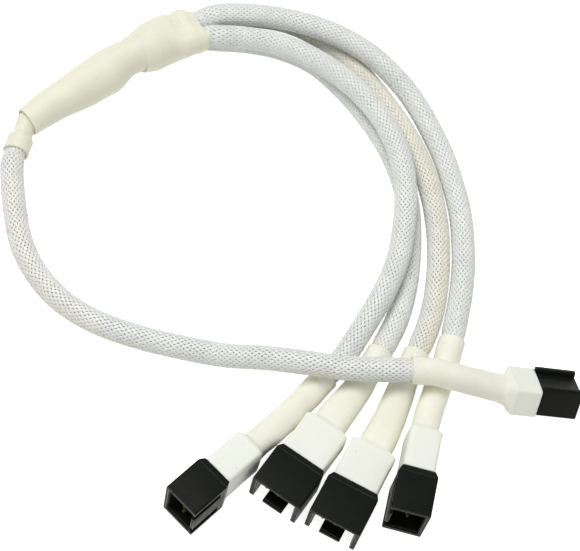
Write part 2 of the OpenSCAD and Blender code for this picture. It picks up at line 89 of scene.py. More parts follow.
WIDE_XY = [[-31.4, 51.6], [-34.9, 48.4], [-36.9, 46.6], [-39.1, 44.6], [-41.7, 42.2]]
WIDE_SHARE = [0, 0, 0.55, 0.9, 1]
WIDE_FRONT_R = 5.2
TAPERED_XY = [[-39.1, 44.6], [-41.7, 42.2], [-44.7, 38.5], [-47.9, 33.8], [-51.1, 29.1],
              [-54.1, 25.2], [-56.5, 22.2], [-58.5, 19.5]]
TAPERED_R = [4.4, 4.6, 4.6, 4.55, 4.3, 3.85, 3.4, 3.1]
TAPERED_LIFT = [0.7, 0.6, 0.1, 0, 0, 0, 0, 0]
CUFF_XY = [[-56.6, 22.1], [-58.3, 19.7], [-58.6, 18.2], [-58.6, 16.7], [-58.6, 15.1], [-58.6, 11.9]]
CUFF_R = [2.4, 2.4, 2.2, 2.1, BOOT_R, BOOT_R]
CUFF_LIFT = [1, 0.6, 0.5, 0.4, 0, 0]

# Outputs: mouth x, mouth y, heading, roll
OUTPUTS = [(-7.3, -54, -122, 90), (8.8, -46.8, -111, 0), (20.3, -49.5, -104, 0), (33.1, -44.9, -90, -90)]
# Routes: x, y and the height of the lead's underside, from the junction to the boot's mouth
ROUTES = [
    [[-25.9, 50.1, 4.9], [-20.5, 51.5, 4.9], [-13.5, 52, 4.9], [-6, 50.8, 4.9], [1.5, 47.7, 4.9],
     [8.5, 42.9, 4.9], [14.1, 36.6, 4.9], [17.7, 29.9, 4.9], [19.8, 22.8, 4.8], [20.8, 15.4, 4.5],
     [21, 7.9, 4.2], [19.7, -0.1, 3.5], [17.5, -7.6, 2.2], [15.1, -14.4, 0.6], [12.7, -19.3, 0.3]],
    [[-26.6, 52.7, 0.1], [-20.7, 54.2, 0], [-13.4, 54.8, 0], [-5.6, 53.3, 0], [1.9, 48.8, 0],
     [8.7, 43, 0], [14.3, 36.7, 0], [18.2, 30.5, 0], [21, 24, 0], [22.7, 17, 0], [23.7, 10.4, 0],
     [24.1, 4.4, 0], [23.8, -2.6, 0], [22.7, -8.1, 0], [22, -10.9, 0]],
    [[-29.3, 57.7, 0.2], [-22, 61, 0], [-14.5, 62.3, 0], [-7.5, 61.2, 0], [-1, 58, 0], [5, 53.5, 0],
     [10.9, 48.2, 0], [16.6, 42.1, 0], [21.8, 34.9, 0], [25.5, 27.4, 0], [28, 19.9, 0],
     [29.6, 11.9, 0], [30.3, 3.9, 0], [30, -3.1, 0], [28.9, -9.1, 0]],
    [[-28.2, 55.2, 4.9], [-23.5, 57.1, 4.9], [-18, 58.5, 4.9], [-12.6, 59.1, 4.9], [-7.2, 59.1, 4.9],
     [-2.2, 58.4, 4.9], [2.4, 57.1, 4.8], [6.8, 55.5, 4.3], [11, 53.4, 3.4], [15, 50.9, 2.3],
     [18.8, 47.6, 1.2], [22.4, 43.4, 0.4], [25.6, 38.8, 0.1], [28.4, 33.5, 0], [31.4, 26.6, 0],
     [33.2, 20.4, 0], [34.5, 13.9, 0], [35.2, 6.8, 0], [35.3, 1.2, 0], [35.2, -4.3, 0]],
]
INPUT_ROUTE = [[-58.5, 9.6, 0.2], [-56.8, 4.4, 0], [-54.4, -1.4, 0], [-51.1, -7.7, 0], [-46.5, -13.1, 0],
               [-40.3, -17.5, 0], [-33, -20, 0], [-24.5, -20.9, 0], [-15, -20.7, 0], [-7, -20.3, 0.6],
               [1, -20.1, 3.6], [8.5, -20, 5.7], [16, -19.3, 6.4], [22, -18.1, 6.9], [27.9, -16.7, 7.1]]
PLUG_XY, PLUG_HEADING, PLUG_PITCH, PLUG_ROLL = (60.3, -10.4), 12, -5, -30
# Height of the plug's mouth, whose lowest corner rests on the ground
PLUG_Z = PLUG_W / 2 * math.sin(math.radians(-PLUG_ROLL)) + PLUG_T / 2 * math.cos(math.radians(PLUG_ROLL))

# How far along a lead its sleeve takes to open to its full size past the heat-shrink
OPENING = 2.5
# How far out of the wide tube's mouth an output still runs straight
JUNCTION_OUT = 1.5
# Spacing of the points along a lead, and along the wires in it
LINE_STEP, WIRE_STEP = 0.25, 1.5
# How far the junction's near side is turned from its across axis, in radians
SIDE_TURN = 0.37
# Most values of a noise texture lie between these
NOISE_LOW, NOISE_HIGH = 0.3, 0.7
# Mouldings: points closer than this are one, in metres. Then, in degrees: faces this flat to each other are
# one, an edge sharper than this is rounded, and one still sharper than this is shaded as an edge
SAME_POINT, SAME_FACE, ROUNDED_EDGE, SHARP_EDGE = 0.000002, 2, 24, 40

# Camera, fitted to the photograph: angles in degrees, aim and distance in millimetres, focal length and
# picture's width in pixels, and the sensor's width in millimetres
ELEVATION, CAMERA_ROLL = 59.67, 14.79
AIM, DISTANCE = np.array([1.2, 2.2, 0]), 319.7
FOCAL_PIXELS, IMAGE_WIDTH, SENSOR_WIDTH = 1600, 580, 36
# Floor: half its width and how far it lies under the lead, in metres, and how strongly it glows when seen
FLOOR_HALF, FLOOR_DROP, FLOOR_GLOW = 1.5, 0.00005, 0.84
# Strength of the light from all round on the object. The camera itself sees 1
SKY_LIGHT = 0.37
# Lamps: name, place and size in metres, power in watts
LAMPS = [("key", (-0.22, 0.04, 0.66), 0.36, 2.95), ("fill", (0.4, -0.5, 0.45), 0.6, 0.6),
         ("back", (0.1, 0.6, 0.5), 0.5, 0.4)]


# Lines and sections

def unit(v):
    return v / np.linalg.norm(v)


def along(heading, pitch=0):
    h, p = math.radians(heading), math.radians(pitch)
    return np.array([math.cos(h) * math.cos(p), math.sin(h) * math.cos(p), math.sin(p)])


def axes_of(way, roll=0):
    """The axes across a path and through its thickness."""
    left = unit(np.cross(UP, way))
    top = np.cross(way, left)
    c, s = math.cos(math.radians(roll)), math.sin(math.radians(roll))
    return left * c + top * s, top * c - left * s


def bezier(p, t):
    s = 1 - t
    return p[0] * s**3 + p[1] * 3 * s * s * t + p[2] * 3 * s * t * t + p[3] * t**3


def bezier_way(p, t):
    s = 1 - t
    return unit((p[1] - p[0]) * s * s + (p[2] - p[1]) * 2 * s * t + (p[3] - p[2]) * t * t)


def way_at(path, i):
    return unit(path[min(i + 1, len(path) - 1)] - path[max(i - 1, 0)])


def eased(x, y, at):
    """Smooth curve through (x, y) that never overshoots between two values."""
    x, y = np.asarray(x, float), np.asarray(y, float)
    if y.ndim == 1:
        y = y[:, None]
    h = np.diff(x)[:, None]
    slope = np.diff(y, axis=0) / h
    tangent = np.zeros_like(y)
    tangent[0], tangent[-1] = slope[0], slope[-1]
    a, b = slope[:-1], slope[1:]
    w1, w2 = 2 * h[1:] + h[:-1], h[1:] + 2 * h[:-1]
    same = a * b > 0
    safe_a, safe_b = np.where(same, a, 1), np.where(same, b, 1)
    tangent[1:-1] = np.where(same, (w1 + w2) / (w1 / safe_a + w2 / safe_b), 0)
    k = np.clip(np.searchsorted(x, at, "right") - 1, 0, len(x) - 2)
    step = h[k]
    t = ((np.asarray(at) - x[k])[:, None]) / step
    return ((1 + 2 * t) * (1 - t) ** 2 * y[k] + t * (1 - t) ** 2 * step * tangent[k]
            + t * t * (3 - 2 * t) * y[k + 1] + t * t * (t - 1) * step * tangent[k + 1])


def rounded_line(points, step):
    """Centripetal spline through the points, at an even spacing."""
    p = np.asarray(points, float)
    p = np.vstack([2 * p[0] - p[1], p, 2 * p[-1] - p[-2]])
    dense = []
    for i in range(1, len(p) - 2):
        a, b, c, d = p[i - 1:i + 3]
        k = np.cumsum([0] + [np.linalg.norm(v - u) ** 0.5 for u, v in ((a, b), (b, c), (c, d))])
        t = np.linspace(k[1], k[2], 24, endpoint=False)[:, None]
        m1 = (k[1] - t) / (k[1] - k[0]) * a + (t - k[0]) / (k[1] - k[0]) * b
        m2 = (k[2] - t) / (k[2] - k[1]) * b + (t - k[1]) / (k[2] - k[1]) * c
        m3 = (k[3] - t) / (k[3] - k[2]) * c + (t - k[2]) / (k[3] - k[2]) * d
        n1 = (k[2] - t) / (k[2] - k[0]) * m1 + (t - k[0]) / (k[2] - k[0]) * m2
        n2 = (k[3] - t) / (k[3] - k[1]) * m2 + (t - k[1]) / (k[3] - k[1]) * m3
        dense.append((k[2] - t) / (k[2] - k[1]) * n1 + (t - k[1]) / (k[2] - k[1]) * n2)
    dense = np.vstack(dense + [p[-2:-1]])
    gone = np.concatenate([[0], np.cumsum(np.linalg.norm(np.diff(dense, axis=0), axis=1))])
    at = np.linspace(0, gone[-1], max(2, round(gone[-1] / step) + 1))
    return np.stack([np.interp(at, gone, dense[:, c]) for c in range(3)], axis=1), at


# Where the four sleeves leave the junction
BUNDLE_PITCH = GRIP_R * 2 + GRIP_GAP
BUNDLE_RISE = BUNDLE_PITCH * math.sqrt(3) / 2
JUNCTION_WAY = unit(np.array([WIDE_XY[0][0] - WIDE_XY[2][0], WIDE_XY[0][1] - WIDE_XY[2][1], 0]))
JUNCTION_LEFT = np.cross(UP, JUNCTION_WAY)
BUNDLE_MID = np.array([*WIDE_XY[0], BOOT_R + BUNDLE_RISE / 2])
BUNDLE_PLACES = [(-0.75, 0.5), (-0.25, -0.5), (0.75, -0.5), (0.25, 0.5)]


def bundle_point(i, back):
    across, high = BUNDLE_PLACES[i]
    return BUNDLE_MID + JUNCTION_LEFT * BUNDLE_PITCH * across + UP * BUNDLE_RISE * high - JUNCTION_WAY * back


def full_route(route):
    """A route along the lead's middle."""
    return [np.array([x, y, z + SLEEVE_R]) for x, y, z in route]


def boot_curve(route, rear, way):
    """Four Bezier points from a boot's mouth, where the route ends, to the rear of its collar."""
    p = full_route(route)
    reach = np.linalg.norm(rear - p[-1]) / 3
    low = p[-1] + UP * (BOOT_R - SLEEVE_R)
    return [low, low + unit(p[-1] - p[-2]) * reach, rear - way * reach - UP * (rear[2] - low[2]) * 0.35, rear]


def sleeve_share(curve):
    """About the share of a boot's curve at which the sleeve in it ends."""
    return SLEEVE_IN / np.linalg.norm(curve[3] - curve[0])


def output_mouth(i):
    x, y, _, roll = OUTPUTS[i]
    return np.array([x, y, (HOUSING_W if abs(roll) == 90 else HOUSING_T) / 2])


def output_curve(i):
    way = along(OUTPUTS[i][2])
    return boot_curve(ROUTES[i], output_mouth(i) - way * (COLLAR_X + COLLAR_L), way)


PLUG_MOUTH = np.array([*PLUG_XY, PLUG_Z])
PLUG_WAY = along(PLUG_HEADING, PLUG_PITCH)
INPUT_CURVE = boot_curve(INPUT_ROUTE, PLUG_MOUTH - PLUG_WAY * (PLUG_L + WIRE_ROOM), PLUG_WAY)
CUFF_PATH = [np.array([x, y, r + lift]) for (x, y), r, lift in zip(CUFF_XY, CUFF_R, CUFF_LIFT)]


def lead_points(start, route, curve):
    t = sleeve_share(curve)
    return start + full_route(route)[:-1] + [curve[0], bezier(curve, t / 2), bezier(curve, t)]


def output_points(i):
    start = [bundle_point(i, back) for back in (JUNCTION_IN, 0, -JUNCTION_OUT)]
    return lead_points(start, ROUTES[i], output_curve(i))


def input_points():
    return lead_points([CUFF_PATH[4], CUFF_PATH[5]], INPUT_ROUTE, INPUT_CURVE)


# Nodes

def srgb(hexed):
    """Linear colour of an sRGB hex value, with its alpha."""
    values = [int(hexed[i:i + 2], 16) / 255 for i in (1, 3, 5)]
    return [v / 12.92 if v <= 0.04045 else ((v + 0.055) / 1.055) ** 2.4 for v in values] + [1.0]


def fill(tree, node, inputs):
    """Sets or links a node's inputs. A node given as a value gives its first output that is in use."""
    for key, value in inputs.items():
        if isinstance(value, bpy.types.Node):
            value = next(out for out in value.outputs if out.enabled)
        if isinstance(value, bpy.types.NodeSocket):
            tree.links.new(value, node.inputs[key])
        else:
            node.inputs[key].default_value = value
    return node


def add(tree, kind, inputs, **options):
    """Adds a node with its options and its inputs."""
    node = tree.nodes.new(kind)
    for key, value in options.items():
        setattr(node, key, value)
    return fill(tree, node, inputs)


def new_material(name):
    """A material with its tree, its shader and the object's own coordinates."""
    material = bpy.data.materials.new(name)
    material.use_nodes = True
    tree = material.node_tree
    where = add(tree, "ShaderNodeTexCoord", {}).outputs["Object"]
    return material, tree, tree.nodes["Principled BSDF"], where


def surface(tree, shader, hue, gloss, grain, single=None, under=None):
    """Fills a shader with its colour, gloss and grain, and with the values that are the same all over.

    gloss is (pattern, roughness where it is weak, roughness where it is strong). grain is (pattern,
    height in metres), and it lies over the bump given as under.
    """
    pattern, weak, strong = gloss
    raised, height = grain
    rough = add(tree, "ShaderNodeMapRange", {
        "Value": pattern, "From Min": NOISE_LOW, "From Max": NOISE_HIGH, "To Min": weak, "To Max": strong})
    bump = add(tree, "ShaderNodeBump", {"Height": raised, "Distance": height})
    if under is not None:
        fill(tree, bump, {"Normal": under})
    fill(tree, shader, {"Base Color": hue, "Roughness": rough, "Normal": bump, **(single or {})})


def darker(shade, share):
    """A colour at a share of its brightness."""
    return [v * share for v in shade[:3]] + [1]


# Materials

def braid_material(settings, name, tint):
    """Polyester monofilament, extruded and braided: bright threads with small dark holes between them."""
    material, tree, shader, where = new_material(name)
    # The yellow wire shines through the sleeve where it lies near, in patches some millimetres long
    near = add(tree, "ShaderNodeAttribute", {}, attribute_name="wire_near").outputs["Fac"]
    patches = add(tree, "ShaderNodeTexNoise", {"Vector": where, "Scale": 260, "Detail": 3, "Roughness": 0.55})
    shade = add(tree, "ShaderNodeMapRange", {"Value": patches, "From Min": NOISE_LOW, "From Max": NOISE_HIGH})
    white = add(tree, "ShaderNodeMix", {0: shade, 6: srgb("#E9ECE9"), 7: settings.sleeve_colour},
                data_type="RGBA")
    deep = add(tree, "ShaderNodeMapRange", {"Value": patches, "From Min": NOISE_LOW, "From Max": NOISE_HIGH,
                                            "To Min": tint * 0.7, "To Max": tint})
    nearer = add(tree, "ShaderNodeMath", {0: near, 1: 0.75, 2: 0.25}, operation="MULTIPLY_ADD")
    seen = add(tree, "ShaderNodeMath", {0: nearer, 1: deep}, operation="MULTIPLY")
    tinted = add(tree, "ShaderNodeMix", {0: seen, 6: white, 7: srgb("#F8EDCB")}, data_type="RGBA")
    # Unevenness of about 0.2 mm, the thickness of a filament
    uneven = add(tree, "ShaderNodeTexNoise", {"Vector": where, "Scale": 5200, "Detail": 2, "Roughness": 0.6})
    surface(tree, shader, tinted, (uneven, 0.36, 0.54), (uneven, 0.000012), {
        "IOR": 1.57, "Subsurface Weight": 0.12, "Subsurface Radius": (1.0, 1.0, 0.9),
        "Subsurface Scale": 0.0003})
    return material


def insulation_material(name, hexed):
    """Wire insulation, PVC extruded over the strands: a dull gloss with a faint grain."""
    material, tree, shader, where = new_material(name)
    base = srgb(hexed)
    clouds = add(tree, "ShaderNodeTexNoise", {"Vector": where, "Scale": 900, "Detail": 3})
    hue = add(tree, "ShaderNodeMix", {0: clouds, 6: base, 7: darker(base, 0.8)}, data_type="RGBA")
    grain = add(tree, "ShaderNodeTexNoise", {"Vector": where, "Scale": 9000, "Detail": 2})
    surface(tree, shader, hue, (grain, 0.38, 0.5), (grain, 0.000006))
    return material


def shrink_material(settings, name, cream):
    """Polyolefin tube shrunk by hot air: cream, nearly matt, a bit see-through, printed by what it grips."""
    material, tree, shader, where = new_material(name)
    drawn, grip, gone, across, up = [
        add(tree, "ShaderNodeAttribute", {}, attribute_name=one).outputs["Fac"]
        for one in ("drawn", "grip", "gone", "across", "up")]
    # Thicker and thinner patches about 6 mm across, and a cooler colour where it is drawn over a moulding
    clouds = add(tree, "ShaderNodeTexNoise", {"Vector": where, "Scale": 170, "Detail": 4, "Roughness": 0.6})
    patch = add(tree, "ShaderNodeMapRange", {"Value": clouds, "From Min": 0.32, "From Max": 0.68})
    patchy = add(tree, "ShaderNodeMix", {0: patch, 6: cream, 7: darker(cream, 0.95)}, data_type="RGBA")
    over = add(tree, "ShaderNodeMix", {0: drawn, 6: patchy, 7: settings.collar_colour}, data_type="RGBA")
    # Specks of dirt of about 0.2 mm, a few on each collar
    dirt = add(tree, "ShaderNodeTexNoise", {"Vector": where, "Scale": 1900, "Detail": 1, "Roughness": 0.4})
    speck = add(tree, "ShaderNodeMapRange", {"Value": dirt, "From Min": 0.75, "From Max": 0.8, "To Max": 0.5})
    soiled = add(tree, "ShaderNodeMix", {0: speck, 6: over, 7: srgb("#A9A894")}, data_type="RGBA")
    skin = add(tree, "ShaderNodeTexNoise", {"Vector": where, "Scale": 1500, "Detail": 4, "Roughness": 0.6})
    # Crossed waves at the braid's own angle, where the tube grips the sleeve
    round_about = add(tree, "ShaderNodeMath", {0: up, 1: across}, operation="ARCTAN2")
    turn = add(tree, "ShaderNodeMath", {0: round_about, 1: settings.ribbons}, operation="MULTIPLY")
    pitch = settings.turn_length / MM / settings.ribbons
    waves = []
    for side in (-1, 1):
        phase = add(tree, "ShaderNodeMath", {0: gone, 1: side * 2 * math.pi / pitch, 2: turn},
                    operation="MULTIPLY_ADD")
        waves.append(add(tree, "ShaderNodeMath", {0: phase}, operation="SINE"))
    crossed = add(tree, "ShaderNodeMath", {0: waves[0], 1: waves[1]}, operation="MAXIMUM")
    printed = add(tree, "ShaderNodeMath", {0: crossed, 1: grip}, operation="MULTIPLY")
    low = add(tree, "ShaderNodeBump", {"Height": printed, "Distance": 0.00002})
    surface(tree, shader, soiled, (skin, 0.5, 0.64), (skin, 0.00003), {
        "IOR": 1.5, "Subsurface Weight": 0.18, "Subsurface Radius": (1.0, 0.9, 0.6),
        "Subsurface Scale": 0.0008}, under=low)
    return material


def moulding_material(settings):
    """Black nylon moulded in a spark-eroded tool: almost black, with a fine dull grain and hand smears."""
    material, tree, shader, where = new_material("moulded black nylon")
    clouds = add(tree, "ShaderNodeTexNoise", {"Vector": where, "Scale": 240, "Detail": 4, "Roughness": 0.6})
    black = add(tree, "ShaderNodeMix", {0: clouds, 6: settings.moulding_colour, 7: srgb("#171A14")},
                data_type="RGBA")
    grain = add(tree, "ShaderNodeTexNoise", {"Vector": where, "Scale": 7000, "Detail": 3, "Roughness": 0.7})
    drawn_out = add(tree, "ShaderNodeVectorMath", {0: where, 1: (1, 3, 1)}, operation="MULTIPLY")
    smears = add(tree, "ShaderNodeTexNoise", {
        "Vector": drawn_out, "Scale": 500, "Detail": 4, "Roughness": 0.65})
    rough = add(tree, "ShaderNodeBump", {"Height": grain, "Distance": 0.000012})
    surface(tree, shader, black, (smears, 0.34, 0.52), (smears, 0.000007),
            {"IOR": 1.53, "Specular IOR Level": 0.07}, under=rough)
    return material


def worn_and_highlit_edge_material():
    """The same nylon along an edge: a thin line, glossier where handling has polished it, and lighter partly
    from wear and partly as a painted highlight.
    """
    material, tree, shader, where = new_material("nylon worn at the edges, with a painted highlight")
    worn = add(tree, "ShaderNodeTexNoise", {"Vector": where, "Scale": 900, "Detail": 4, "Roughness": 0.7})
    wear_and_highlight = add(tree, "ShaderNodeMapRange", {"Value": worn, "From Min": 0.4, "From Max": 0.65})
    # Lighter grey along the edges: partly wear, partly a painted highlight
    worn_and_highlit_grey = add(tree, "ShaderNodeMix", {0: wear_and_highlight, 6: srgb("#161813"), 7: srgb("#3B3F34")}, data_type="RGBA")
    fine = add(tree, "ShaderNodeTexNoise", {"Vector": where, "Scale": 5000, "Detail": 3})
    surface(tree, shader, worn_and_highlit_grey, (worn, 0.36, 0.22), (fine, 0.00001), {"IOR": 1.53})
    return material


def plated_material(name, bright, dull, low, high):
    """Brass sheet, rolled, stamped and plated: a metal with rolling lines and duller patches."""
    material, tree, shader, where = new_material(name)
    rolled = add(tree, "ShaderNodeVectorMath", {0: where, 1: (1, 1, 6)}, operation="MULTIPLY")
    lines = add(tree, "ShaderNodeTexNoise", {"Vector": rolled, "Scale": 2500, "Detail": 3, "Roughness": 0.6})
    patches = add(tree, "ShaderNodeTexNoise", {"Vector": where, "Scale": 700, "Detail": 3})
    patch = add(tree, "ShaderNodeMapRange", {"Value": patches, "From Min": 0.4, "From Max": 0.7})
    metal = add(tree, "ShaderNodeMix", {0: patch, 6: srgb(bright), 7: srgb(dull)}, data_type="RGBA")
    surface(tree, shader, metal, (lines, low, high), (lines, 0.000004), {"Metallic": 1.0})
    return material


def cap_material():
    """Natural nylon moulded as a splice's cap: off-white and faintly cloudy."""
    material, tree, shader, where = new_material("natural nylon cap")
    clouds = add(tree, "ShaderNodeTexNoise", {"Vector": where, "Scale": 500, "Detail": 3})
    hue = add(tree, "ShaderNodeMix", {0: clouds, 6: srgb("#EDE9DA"), 7: srgb("#DAD4C0")}, data_type="RGBA")
    fine = add(tree, "ShaderNodeTexNoise", {"Vector": where, "Scale": 6000, "Detail": 2})
    surface(tree, shader, hue, (clouds, 0.3, 0.45), (fine, 0.000008))
    return material


# Meshes

def in_scene(name, data):
    piece = bpy.data.objects.new(name, data)
    bpy.context.scene.collection.objects.link(piece)
    return piece


def mesh_object(name, points, faces, material, slots=None, floats=None):
    """A piece from points in millimetres, with its materials and its own attributes."""
    mesh = bpy.data.meshes.new(name)
    mesh.from_pydata((np.asarray(points) * MM).tolist(), [], faces)
    for one in material if isinstance(material, list) else [material]:
        mesh.materials.append(one)
    if slots is not None:
        mesh.polygons.foreach_set("material_index", np.asarray(slots, np.int32))
    for key, values in (floats or {}).items():
        mesh.attributes.new(key, "FLOAT", "POINT").data.foreach_set("value", np.asarray(values, np.float32))
    mesh.polygons.foreach_set("use_smooth", [True] * len(mesh.polygons))
    mesh.validate()
    piece = in_scene(name, mesh)
    work = bmesh.new()
    work.from_mesh(mesh)
    bmesh.ops.recalc_face_normals(work, faces=work.faces)
    work.to_mesh(mesh)
    work.free()
    return piece


def ring_faces(rings, sides, start=0, closed=False):
    """Four-sided faces between rings of points."""
    faces = []
    for i in range(rings if closed else rings - 1):
        a, b = start + i * sides, start + (i + 1) % rings * sides
        faces += [(a + j, b + j, b + (j + 1) % sides, a + (j + 1) % sides) for j in range(sides)]
    return faces


def hold(piece, slot, *nodes):
    """Seats a piece on the lead's one body. slot is not used."""
    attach(piece, "root")
    if nodes:
        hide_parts(*nodes)
    return piece


# Heat-shrink

def section(phi, a, b, r, lean):
    """Points of a tube's outline, as wide as the solids' outline, and their outward directions."""
    tilt = math.atan(lean)
    pull_x = np.clip(4 * np.cos(phi), -1, 1)
    pull_y = np.clip(4 * np.sin(phi - tilt), -1, 1)
    hx, hy = a - r, b - r
    out = np.stack([np.cos(phi), np.sin(phi)], axis=1)
    core = np.stack([hx * pull_x - hy * pull_y * lean, hy * pull_y], axis=1)
    return core + out * r, out


def shrink_piece(name, node, stations, relief, material, marks, sides=72, step=0.22):
    """An open heat-shrink tube through stations of [centre, across, up, a, b, r, lean].

    relief(s, phi, left) gives how far the skin stands proud at a place along and round it, and
    marks(s) gives how far it is drawn over a moulding and whether it grips a sleeve.
    """
    centres = np.array([s[0] for s in stations])
    gone = np.concatenate([[0], np.cumsum(np.linalg.norm(np.diff(centres, axis=0), axis=1))])
    rows = np.array([np.concatenate([s[0], s[1], s[2], s[3:]]) for s in stations])
    at = np.unique(np.concatenate([np.linspace(0, gone[-1], round(gone[-1] / step) + 1), gone]))
    rows = eased(gone, rows, at)
    phi = np.linspace(0, 2 * math.pi, sides, endpoint=False)
    outer, inner = [], []
    for s, row in zip(at, rows):
        across, up = unit(row[3:6]), unit(row[6:9])
        outline, out = section(phi, *row[9:13])
        stand = relief(s, phi, gone[-1] - s)[:, None]
        # The cut ends are a little rounded
        edge = min(s, gone[-1] - s)
        ease = 0.07 * max(0, 1 - edge / 0.15) ** 2
        for ring, inset in ((outer, ease), (inner, SHRINK_WALL - ease)):
            flat = outline + out * (stand - inset)
            ring.append(row[0:3] + flat[:, :1] * across + flat[:, 1:] * up)
    points = np.concatenate(outer + inner[::-1])
    faces = ring_faces(2 * len(at), sides, closed=True)
    there = np.concatenate([at, at[::-1]])
    drawn, grip = marks(there)
    # The cosine and the sine of the place round it, so that its angle has no seam
    floats = {
        "drawn": np.repeat(drawn, sides), "grip": np.repeat(grip, sides), "gone": np.repeat(there, sides),
        "across": np.tile(np.cos(phi), 2 * len(at)), "up": np.tile(np.sin(phi), 2 * len(at)),
    }
    piece = mesh_object(name, points, faces, material, floats=floats)
    return hold(piece, "heat_shrink", node)


def soft_waves(seed, s, phi, amount):
    """Slow unevenness of a shrunk skin, the same at every run."""
    spin = np.random.default_rng(seed)
    total = np.zeros_like(phi)
    for k in range(1, 5):
        turn, period, shift = spin.uniform(0, 2 * math.pi), spin.uniform(3.5, 9), spin.uniform(0, 6)
        lengthwise = math.cos(2 * math.pi * (s + shift) / period)
        total += np.cos(k * phi + turn + 0.4 * math.sin(s / 4 + k)) * lengthwise / k
    return amount * total / 2


def bell(x, middle, width):
    return math.exp(-((x - middle) / width) ** 2)


def smooth_step(x, low, high):
    t = np.clip((np.asarray(x, float) - low) / (high - low), 0, 1)
    return t * t * (3 - 2 * t)


def boot_piece(name, node, curve, way, roll, half_w, half_t, flare, collar, seed, material):
    """A boot: round over the sleeve, drawn in over the wires, then boxed over the moulding."""
    end = sleeve_share(curve)
    # Three places over the sleeve, then four along the neck
    shares = [0, end / 2, end] + [end + (1 - end) * k for k in (0.25, 0.5, 0.7, 0.88)]
    stations = []
    for t in shares:
        across, up = axes_of(bezier_way(curve, t), roll)
        r = NECK_R if t > end else BOOT_R
        wide = r + flare * max(0, t - end) / (1 - end)
        stations.append([bezier(curve, t), across, up, wide, r, r, 0])
    across, up = axes_of(way, roll)
    # The collar: how far on, its shares of the full width and thickness, and its corners' radius
    boxed = [(0, 0.78, 0.86, 2), (0.5, 0.93, 0.95, 1.5), (1.2, 1, 1, COLLAR_R), (collar, 1, 1, COLLAR_R)]
    for s, w, t, r in boxed:
        stations.append([curve[3] + way * s, across, up, half_w * w, half_t * t, r, 0])
    # How far along the boot its collar begins
    step_at = sum(np.linalg.norm(b[0] - a[0]) for a, b in zip(stations[:7], stations[1:8]))

    def relief(s, phi, left):
        # The wires show through the neck as soft ridges, and the skin creases ahead of the collar
        neck = float(smooth_step(s, SLEEVE_IN, SLEEVE_IN + 2) * (1 - smooth_step(s, step_at - 3, step_at)))
        wires = 0.1 * neck * np.cos(3 * (phi - s / 14) + seed)
        step_crease = -0.1 * bell(s, step_at - 0.4, 0.6) + 0.05 * bell(s, step_at + 1.1, 0.5)
        boxed_part = float(smooth_step(s, step_at, step_at + 1))
        waves = soft_waves(seed, s, phi, 0.07 * (1 - 0.6 * boxed_part))
        # It is drawn in where the sleeve ends
        pinch = -0.06 * bell(s, SLEEVE_IN + 0.6, 1.0)
        return wires + step_crease + waves + pinch - 0.02

    def marks(s):
        return smooth_step(s, step_at - 1.2, step_at + 1.4), 1 - smooth_step(s, SLEEVE_IN - 1, SLEEVE_IN)

    return shrink_piece(name, node, stations, relief, material, marks)


def tube_stations(path, radii):
    stations = []
    for i, (centre, r) in enumerate(zip(path, radii)):
        across, up = axes_of(way_at(path, i))
        stations.append([centre, across, up, r, r, r, 0])
    return stations


# Geometry Nodes

